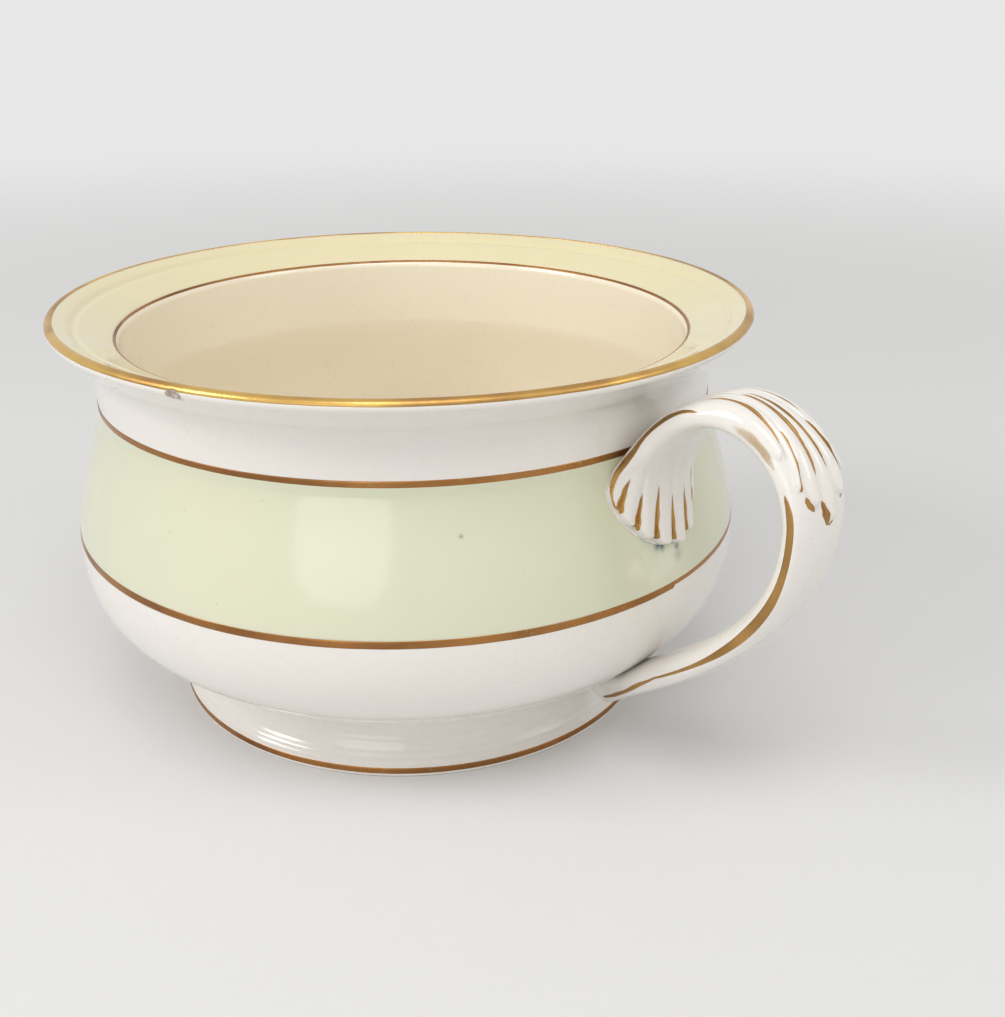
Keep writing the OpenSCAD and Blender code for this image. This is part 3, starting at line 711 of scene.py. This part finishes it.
acrossOuter = np.sin(np.linspace(-1, 1, rows["outer"]) * math.pi / 2)
innerCount = handle["flutes"] * rows["perFlute"]
innerAngle = np.linspace(0, math.pi, innerCount + 1)[1:-1]
across = np.concatenate([acrossOuter, np.cos(innerAngle)])
isOuter = np.arange(len(across)) < rows["outer"]
side = np.where(isOuter, 1.0, -1.0)
fan = np.concatenate([np.zeros(rows["outer"]), np.sin(innerAngle)])
flutePhase = np.concatenate([np.zeros(rows["outer"]), innerAngle * handle["flutes"] / math.pi % 1.0])
fluteRound = np.where(isOuter, 0.0, 1 - np.abs(2 * flutePhase - 1) ** handle["fluteRound"])


def fanPoint(y):  # the shell's far flank is drawn in more than its near one
    return mix(handle["nearPoint"], handle["farPoint"], ease(y / 0.5))


def shellTop(y, gap):  # height of the shell's upper edge
    return rootHeight + (handle["shellRise"] + gap) * (1 - np.abs(y) ** handle["shellTop"])


def shellRing(q):  # from the shell's edge on the wall, 0, to the strap, 1
    half = handle["shellWidth"] / 2
    scallop = handle["scallop"] * (fluteRound - handle["scallopMiddle"]) * fan ** 0.5
    spread = 1 + scallop / handle["shellDrop"]
    upper = np.stack([across * half + handle["shift"], shellTop(across, 0.0)], -1)
    lower = np.stack([spread * across * half + handle["shift"] + handle["lean"] * fan ** 2,
                      rootHeight - spread * handle["shellDrop"] * fan ** fanPoint(across)], -1)
    start = np.where(isOuter[:, None], upper, lower)
    end = offWall(strapRing(handle["shellEnd"], across, side, 0.0))
    rolled = math.sin(math.pi / 2 * min(1.0, q / handle["lipShare"]))
    lip = handle["shellLip"] * fan * rolled * (1 - q)
    ridge = handle["fluteHeight"] * (fluteRound - handle["fluteMiddle"]) * np.sqrt(fan)
    ridge *= rolled * ease(1 - q / handle["fluteReach"])
    off = mix(handle["lute"], end[:, 2], q ** handle["shellBend"]) + lip + ridge
    return onWall(np.concatenate([mix(start, end[:, :2], q), off[:, None]], 1))


def tailRing(q):  # the outer face runs on to a blunt end, and the inner face settles on the bowl
    strap = strapRing(handle["tailStart"], across, side, 0.0)
    way = alongPath(3.0, bezierHeading)[0][:2]
    reach = handle["tailReach"][0] + handle["tailReach"][1] * crown(across)
    corner = strapRing(3.0, across, side, 0.0)
    corner[:, 0] += reach * way[0] / np.linalg.norm(way)
    corner[:, 2] += reach * way[1] / np.linalg.norm(way)
    corner[:, 2] -= handle["tailDrop"][0] + handle["tailDrop"][1] * crown(across)
    corner[:, 1] = across * handle["tailTip"] / 2 + handle["tailShift"]
    low = tailHeight - handle["tailLow"] * crown(across)
    landing = np.stack([across * handle["tailFoot"] / 2 + handle["tailShift"],
                        np.where(isOuter, low, tailHeight + handle["tailHigh"] * fan),
                        np.full(len(across), handle["lute"])], -1)
    inner = onWall(mix(offWall(strap), landing, q))
    first = min(1.0, q / handle["tailCorner"])
    second = max(0.0, (q - handle["tailCorner"]) / (1 - handle["tailCorner"]))
    outer = mix(mix(strap, corner, first), onWall(landing), second)
    return np.where(isOuter[:, None], outer, mix(outer, inner, ease(fan / 0.5)[:, None]))


def handleRings():
    shellSteps = np.linspace(0, 1, rows["shell"] + 1)[:-1] ** rows["shellCrowd"]
    places = np.concatenate([np.linspace(handle["shellEnd"], rows["leafEnd"], rows["leaf"] + 1)[:-1],
                             np.linspace(rows["leafEnd"], handle["tailStart"], rows["strap"] + 1)])
    tailSteps = np.linspace(0, 1, rows["tail"] + 1)[1:]
    body = [strapRing(s, across, side, np.where(isOuter, leafLift(s, across), 0.0)) for s in places]
    rings = [shellRing(q) for q in shellSteps] + body + [tailRing(q) for q in tailSteps]
    grid = np.array(rings)
    last = rows["shell"] + len(places)
    for row, (before, after, times) in ((rows["shell"], joins["shell"]), (last, joins["tail"])):
        soften(grid, row - before, row + after, times)
    soften(grid, last + joins["pastTail"], len(grid) - 1, joins["pastTailTimes"])
    return grid, shellSteps, places


handleGrid, shellSteps, strapPlaces = handleRings()


def makeHandle():
    piece = gridPiece("handle_glazed", [handleGrid], False, True, True)
    place(piece, clayGlaze, "handle")


makeHandle()
print("handle moulded:", handleGrid.shape)

# brushwork on the handle: each stroke follows the moulded surface
brush = dict(lift=0.12, low=0.02, sunk=0.08, across=13, waver=0.10, blunt=0.04, swell=0.10, thinnest=0.04,
             edgeFade=0.35)
ringStep = np.linalg.norm(np.roll(handleGrid, -1, 1) - handleGrid, axis=-1)
ringLength = np.cumsum(ringStep, 1) - ringStep  # distance round each ring from the near edge
ringFull = ringStep.sum(1)
alongGrid = np.gradient(handleGrid, axis=0)
aroundGrid = (np.roll(handleGrid, -1, 1) - np.roll(handleGrid, 1, 1)) / 2
handleOut = np.cross(alongGrid, aroundGrid)
handleOut /= np.maximum(np.linalg.norm(handleOut, axis=-1), 1e-9)[..., None]
columnCount = handleGrid.shape[1]
farEdge = rows["outer"] - 1


def rowOfShell(q):
    return int(np.argmin(np.abs(shellSteps - q)))


def rowOfPath(s):
    return rows["shell"] + int(np.argmin(np.abs(strapPlaces - s)))


def columnOfAcross(y):
    return (np.arcsin(np.clip(y, -1, 1)) / (math.pi / 2) + 1) / 2 * farEdge


def roundRing(i, column):  # distance round ring i at a column, which may lie between two
    return np.interp(column, np.arange(columnCount), ringLength[i])


def onRing(grid, i, distance):
    marks = np.append(ringLength[i], ringFull[i])
    column = np.interp(distance % ringFull[i], marks, np.arange(columnCount + 1))
    low = np.floor(column).astype(int)
    share = (column - low)[:, None]
    return mix(grid[i, low % columnCount], grid[i, (low + 1) % columnCount], share)


def along(values, t):
    return float(np.interp(t, np.linspace(0, 1, len(values)), values))


def stroke(first, last, middle, widths, covers, seed):  # middle gives the distance round ring i
    spread = np.linspace(-1, 1, brush["across"])
    dome = 1 - spread ** 4
    phase = np.random.default_rng(seed).uniform(0, 2 * math.pi, 3)
    rings, cover = [], []
    for i in range(first, last + 1):
        t = (i - first) / (last - first)
        waver = brush["waver"] * (math.sin(7 * t + phase[0]) + 0.5 * math.sin(19 * t + phase[1]))
        blunt = min(1.0, math.sqrt(t / brush["blunt"]), math.sqrt((1 - t) / brush["blunt"]))
        swell = 1 + brush["swell"] * math.sin(15 * t + phase[2])
        half = max(along(widths, t) / 2 * blunt * swell, brush["thinnest"])
        distance = middle(i) + waver + half * spread
        skin = onRing(handleGrid, i, distance)
        out = onRing(handleOut, i, distance)
        upper = skin + out * (brush["lift"] * dome - brush["low"])[:, None]
        under = (skin - out * brush["sunk"])[::-1]
        rings.append(np.concatenate([upper, under]))
        edge = along(covers, t) * (1 - brush["edgeFade"] * np.abs(spread) ** 3)
        cover.append(np.concatenate([edge, edge[::-1]]))
    return np.array(rings), np.array(cover)


def gilded(node, strokes):
    piece = gridPiece(node + "_brushed", [grid for grid, cover in strokes], False, True, True)
    markPoints(piece, "cover", np.concatenate([cover.ravel() for grid, cover in strokes]))
    place(piece, brushGilt, node)


# each stroke in a furrow of the leaf: furrow, from, to, widths and how well the gold covers, along it
leafStrokes = ((2, 0.84, 1.47, (0.4, 0.8, 1.3, 1.4, 1.1, 0.4), (0.4, 0.6, 0.9, 1, 1, 0.9)),
               (1, 1.38, 1.74, (1.0, 1.7, 1.9, 1.7, 1.4, 1.0), (1, 1, 1, 1, 1, 0.9)),
               (0, 1.02, 1.68, (0.5, 1.2, 1.8, 2.0, 1.5, 0.5), (0.4, 0.8, 1, 1, 1, 0.8)))
tipStrokes = ((0, (0.7, 1.9, 2.7, 2.2, 1.2)), (1, (0.6, 1.5, 2.1, 1.9, 1.1)))


def inFurrow(k, way):
    return lambda i: roundRing(i, columnOfAcross(way * furrowAt(k, strapPlaces[i - rows["shell"]])))


def roundTip(k, way, end):  # down a lobe's near side and round its tip
    def middle(i):
        s = strapPlaces[i - rows["shell"]]
        inLobe = min(1.0, math.sqrt(max(0.0, (end - s) / (leaf["tips"][k] - leaf["notches"][k]))))
        low = furrowAt(k - 1, s) if k else -furrowAt(0, s)
        high = furrowAt(k, s)
        return roundRing(i, columnOfAcross(way * ((low + high) / 2 + inLobe * (high - low) / 2)))
    return middle


def makeLeafGilding():
    strokes = []
    for way in (-1, 1):
        for k, start, end, widths, covers in leafStrokes:
            strokes.append(stroke(rowOfPath(start), rowOfPath(end), inFurrow(k, way),
                                  widths, covers, 31 + 5 * k + way))
        for k, widths in tipStrokes:
            end = leaf["tips"][k] + leaf["pastTip"]
            strokes.append(stroke(rowOfPath(end - leaf["blob"][k]), rowOfPath(end), roundTip(k, way, end),
                                  widths, (1, 1), 57 + 5 * k + way))
    gilded("handle_leaf_gilding", strokes)


def atColumn(column):
    return lambda i: roundRing(i, column)


def alongEdge(way, first, last, insets):  # how far on to the outer face, from the first row to the last
    column = 0 if way < 0 else farEdge
    return lambda i: roundRing(i, column) - way * along(insets, (i - first) / (last - first))


shellStroke = dict(start=0.004, end=0.58, vary=0.08, widths=(3.0, 3.8, 3.6, 3.0, 2.2, 1.4, 0.7),
                   covers=(1, 1, 1, 1, 0.8, 0.6, 0.3))


def makeShellGilding():
    strokes = []
    first = rowOfShell(shellStroke["start"])
    for k in range(1, handle["flutes"]):
        last = rowOfShell(shellStroke["end"] + shellStroke["vary"] * math.sin(2.4 * k))
        strokes.append(stroke(first, last, atColumn(farEdge + k * rows["perFlute"]),
                              shellStroke["widths"], shellStroke["covers"], 70 + k))
    gilded("handle_shell_gilding", strokes)


# each stroke on an edge: first row, last row, how far it lies on to the outer face, widths and covers
tailEnd = rowOfPath(handle["tailStart"]) + int(rows["tail"] * handle["tailCorner"])
edgeStrokes = (
    (rowOfShell(shellStroke["start"]), rowOfPath(0.86),
     (-6.2, -2.2, -0.9, -0.2, 0.4, 1.0, 1.5, 2.0, 2.4, 2.7, 2.9, 3.0, 2.9, 2.7, 2.3, 1.8),
     (2.9, 2.6, 2.4, 2.5, 2.5, 2.3, 1.6, 0.5), (1, 1, 1, 1, 1, 1, 0.9, 0.5)),
    (rowOfPath(1.10), rowOfPath(1.56), (0.7, 0.8, 0.6),
     (0.6, 2.3, 2.9, 2.4, 0.9), (0.16, 0.34, 0.40, 0.40, 0.30)),
    (rowOfPath(1.72), rowOfPath(2.80), (0.3, 0.35, 0.5, 0.6, 0.5, 0.1, -0.4),
     (1.0, 1.9, 1.9, 2.2, 2.8, 2.6, 2.2, 1.2, 0.5), (1, 1, 1, 1, 1, 0.9, 0.6)),
    (rowOfPath(2.76), tailEnd, (-0.4, 0.2, 1.4, 2.8, 3.8), (0.5, 1.4, 1.6, 1.3), (0.7, 1, 1, 1)))


def makeEdgeGilding():
    strokes = []
    for number, (first, last, insets, widths, covers) in enumerate(edgeStrokes):
        for way in (-1, 1):
            strokes.append(stroke(first, last, alongEdge(way, first, last, insets), widths, covers,
                                  90 + 2 * number + (way > 0)))
    gilded("handle_edge_gilding", strokes)


makeLeafGilding()
makeShellGilding()
makeEdgeGilding()
print("handle gilded")

# the ground round the body, with its window round the shell
window = dict(gap=0.7, fineStep=0.12, under=0.35, below=0.2, tuck=0.02, rows=49,
              # the dark teal spots are pooled ground with painted contact shadow under the shell's tips
              poolsAndShadows=((-4.2, 73.7, 1.5, 1.0), (-2.4, 72.8, 1.2, 1.0), (4.4, 70.7, 1.1, 0.8),
                     (4.6, 68.4, 1.8, 0.35)),
              # the pale spots are a painted reflection below the shell
              pale=((-13.7, 70.2, 4.0, 0.9), (-0.9, 68.0, 5.0, 0.8), (-7.0, 66.0, 3.0, 0.5)),
              fleckBearing=-36.3, fleckFine=0.8, fleckHeight=87.5, fleckRadius=0.45, fleckShow=0.9)


def markSpots(piece, name, points, spots, where):  # soft spots at [sideways, height, radius, strength]
    total = np.zeros(len(points))
    for y, z, radius, strength in spots:
        away = ((points[:, 1] - y) ** 2 + (points[:, 2] - z) ** 2) / radius ** 2
        total = np.maximum(total, strength * np.exp(-away))
    markPoints(piece, name, total * where)


def makeBodyGround():
    half = handle["shellWidth"] / 2 + window["gap"]
    wide = math.degrees(math.asin((half + handle["shift"]) / wallRadius(rootHeight)))
    angles = bearings(evenBearings(layers["around"], -180), np.arange(-wide, wide, window["fineStep"]),
                      [wide], closeTo(window["fleckBearing"], window["fleckFine"]))
    sideways = wallRadius(rootHeight) * np.sin(np.radians(angles))
    turn = np.linspace(0, math.pi, 200)
    lowerX = half * np.cos(turn) + handle["shift"] + handle["lean"] * np.sin(turn) ** 2
    lowerZ = rootHeight - (handle["shellDrop"] + window["gap"]) * np.sin(turn) ** fanPoint(np.cos(turn))
    y = (sideways - handle["shift"]) / half
    ahead = (np.abs(y) < 1) & (np.abs(angles) < 90)
    lower = np.where(ahead, np.interp(sideways, lowerX[::-1], lowerZ[::-1]), rootHeight)[:, None]
    upper = np.where(ahead, shellTop(y, window["gap"]), rootHeight)[:, None]
    low = bellyLine + layers["bellyLineWidth"] / 2 - window["under"]
    high = shoulderLine - layers["shoulderLineWidth"] / 2 + window["under"]
    upper = np.minimum(upper, high - window["below"])
    count = window["rows"]
    t = np.linspace(0, 1, count)[None, :]
    z = np.concatenate([mix(low, lower, t), mix(upper, high, t)], 1)
    radius = wallRadius(z) + layers["groundThick"]
    radius[:, [0, -1]] -= layers["groundThick"]
    radius[:, count - 1:count + 1] -= np.where(ahead, layers["groundThick"] + window["tuck"], 0.0)[:, None]
    grid = spun(radius, z, angles)
    piece = gridPiece("body_ground_band", [grid[:, :count], grid[:, count:]], True, False)
    tidy = bmesh.new()
    tidy.from_mesh(piece.data)
    bmesh.ops.remove_doubles(tidy, verts=tidy.verts, dist=1e-7)
    bmesh.ops.recalc_face_normals(tidy, faces=tidy.faces)
    outward = sum(face.normal.dot(face.calc_center_median().xy.to_3d()) for face in tidy.faces)
    if outward < 0:
        bmesh.ops.reverse_faces(tidy, faces=tidy.faces)
    tidy.to_mesh(piece.data)
    tidy.free()
    points = np.array([v.co for v in piece.data.vertices]) / mm
    facingHandle = points[:, 0] > 0
    # pooled ground and painted contact shadow under the shell's tips
    markSpots(piece, "poolAndShadow", points, window["poolsAndShadows"], facingHandle)
    # painted reflection below the shell
    markSpots(piece, "pale", points, window["pale"], facingHandle)
    fleckY = wallRadius(window["fleckHeight"]) * math.sin(math.radians(window["fleckBearing"]))
    fleck = (fleckY, window["fleckHeight"], window["fleckRadius"], window["fleckShow"])
    markSpots(piece, "fleck", points, [fleck], facingHandle)
    shell = piece.modifiers.new("thickness", "SOLIDIFY")
    shell.thickness = (layers["groundThick"] + layers["sunk"]) * mm
    shell.offset = -1.0
    place(piece, bodyGround, "body_green_band")


makeBodyGround()
print("body ground laid")

# camera where the photograph was taken, and a plain studio
view = dict(spot=(0.28949, -0.27471, 0.22124), way=(-0.61758, 0.68464, -0.38710), lens=44.96, near=0.01)
camera = bpy.data.objects.new("camera", bpy.data.cameras.new("camera"))
bpy.context.scene.collection.objects.link(camera)
camera.location = view["spot"]
camera.rotation_euler = Vector(view["way"]).to_track_quat("-Z", "Y").to_euler()
camera.data.lens = view["lens"]
camera.data.clip_start = view["near"]
bpy.context.scene.camera = camera

studio = dict(floorWide=30.0, floor=colour(0.74, 0.74, 0.74), floorRough=0.85,
              grain=colour(0.5, 0.5, 0.5), grainScale=220.0, grainShow=0.06,
              tint=colour(1.0, 0.99, 0.97), sky=0.60, pale=0.80, paleFrom=0.30, paleTo=1.50,
              aim=(0, 0, 0.06),
              lamps=(("window", (0.78, -1.76, 0.54), (1.1, 1.4), 4.5),
                     ("leftBox", (-0.60, -1.15, 0.95), (0.7, 0.7), 7.2),
                     ("topBox", (0.50, -0.46, 1.25), (0.8, 0.8), 4.9),
                     ("rightBox", (1.05, 0.45, 0.85), (0.6, 0.6), 2.0)))


def makeStudio():
    bpy.ops.mesh.primitive_circle_add(vertices=96, radius=studio["floorWide"], fill_type="NGON")
    floor = bpy.context.object
    floor.name = "floor"
    look = Finish("paleFloor", Roughness=studio["floorRough"])
    grain = look.noise(studio["grainScale"], 3.0) * studio["grainShow"]
    look.into("Base Color", look.blend(grain, studio["floor"], studio["grain"]))
    away = look.add("ShaderNodeVectorMath", {"operation": "LENGTH"}, {0: look.spot()}, "Value")
    far = look.step(away, studio["paleFrom"], studio["paleTo"]) * look.backdropRay()
    pale = studio["pale"]
    glow = look.add("ShaderNodeEmission", {}, {"Color": colour(pale, pale, pale)})
    ground = Wire(look, look.shader.outputs[0])
    look.show(look.add("ShaderNodeMixShader", {}, {0: far, 1: ground, 2: glow}))
    floor.data.materials.append(look.material)
    bpy.context.scene.world = bpy.data.worlds.new("studio")
    sky = Backdrop(bpy.context.scene.world, studio["tint"])
    sky.strength(studio["sky"] + (pale - studio["sky"]) * sky.backdropRay())
    for name, spot, size, power in studio["lamps"]:
        lamp = bpy.data.lights.new(name, "AREA")
        lamp.shape = "ELLIPSE"
        lamp.size, lamp.size_y = size
        lamp.energy = power
        holder = bpy.data.objects.new(name, lamp)
        bpy.context.scene.collection.objects.link(holder)
        holder.location = spot
        toPot = Vector(studio["aim"]) - holder.location
        holder.rotation_euler = toPot.to_track_quat("-Z", "Y").to_euler()
    bpy.context.scene.view_settings.view_transform = "Standard"


makeStudio()
print("studio lit")
